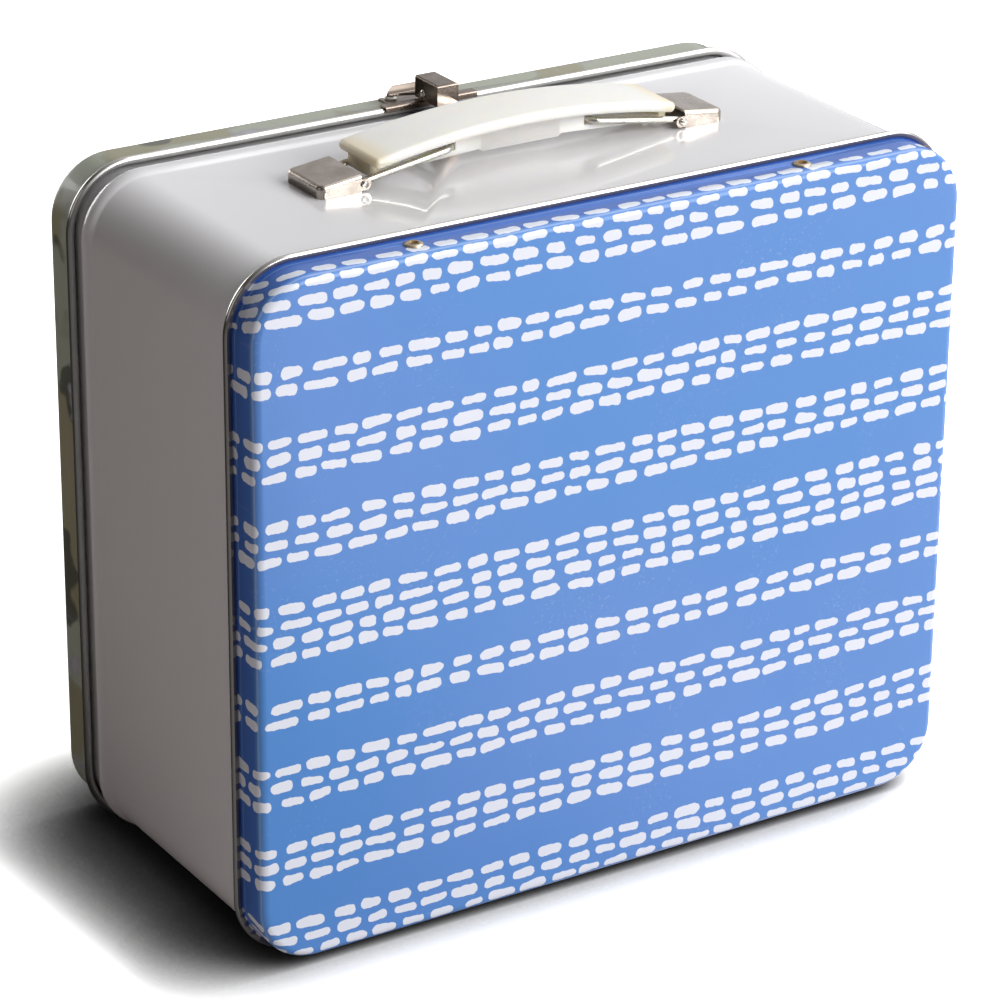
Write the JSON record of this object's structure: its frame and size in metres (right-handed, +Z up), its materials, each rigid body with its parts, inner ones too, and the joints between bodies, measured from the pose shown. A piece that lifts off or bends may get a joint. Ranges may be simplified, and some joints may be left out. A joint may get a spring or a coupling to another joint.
{
  "type": "metal lunch box",
  "caption": "Round-cornered tinplate lunch box with a riveted front pan, a lid pan hinged along the bottom, a lift-up grip on wire links and a lever latch.",
  "frame": {"origin": "under the middle of the box, on the table that its two curled rims stand on", "axes": "+X along the width, -Y out of the front panel, +Y out of the lid, +Z up through the grip"},
  "size_m": [0.2066, 0.104, 0.1915],
  "materials": {
    "white_enamel": "glossy baked enamel, a little worn",
    "blue_print": "glossy printed tin with pale dashes and a bare rim",
    "olive_print": "satin printed tin with soft patches and a bare rim",
    "ivory_plastic": "moulded, softly glossy",
    "nickel_plate": "nickel plated, lightly scratched",
    "steel_wire": "drawn wire",
    "brass_rivet": "aged"
  },
  "bodies": {
    "case": {"body_band": "white_enamel", "front_panel": "blue_print", "panel_rivets": "brass_rivet", "handle_bracket_left": "nickel_plate", "handle_bracket_right": "nickel_plate", "hinge_strap_left": "nickel_plate", "hinge_strap_right": "nickel_plate", "hinge_rivets": "steel_wire", "latch_housing": "nickel_plate", "latch_pin": "steel_wire", "latch_rivets": "steel_wire"},
    "lid": {"lid": "olive_print", "latch_strike": "nickel_plate", "strike_rivets": "steel_wire", "hinge_wire_left": "steel_wire", "hinge_wire_right": "steel_wire"},
    "latch": {"latch_lever": "nickel_plate"},
    "handle": {"grip": "ivory_plastic"},
    "link_left": {"handle_link_left": "steel_wire"},
    "link_right": {"handle_link_right": "steel_wire"}
  },
  "joints": [
    {"name": "lid_hinge", "type": "hinge", "parent": "case", "child": "lid", "pos_m": [0, 0.0383, 0.001], "axis": [-1, 0, 0], "range_deg": [0, 105]},
    {"name": "latch_swing", "type": "hinge", "parent": "case", "child": "latch", "pos_m": [0, 0.0358, 0.18448], "axis": [1, 0, 0], "range_deg": [0, 35]},
    {"name": "handle_lift", "type": "slide", "parent": "case", "child": "handle", "axis": [0, 0, 1], "range_m": [0, 0.015]},
    {"name": "link_left_swing", "type": "hinge", "parent": "case", "child": "link_left", "pos_m": [-0.0462, 0, 0.18138], "axis": [0, -1, 0], "range_deg": [0, 36]},
    {"name": "link_right_swing", "type": "hinge", "parent": "case", "child": "link_right", "pos_m": [0.0462, 0, 0.18138], "axis": [0, 1, 0], "range_deg": [0, 36]}
  ],
  "couplings": [
    {"joint": "link_left_swing", "follows": "handle_lift", "rad_per_m": 41.77},
    {"joint": "link_right_swing", "follows": "handle_lift", "rad_per_m": 41.77}
  ]
}
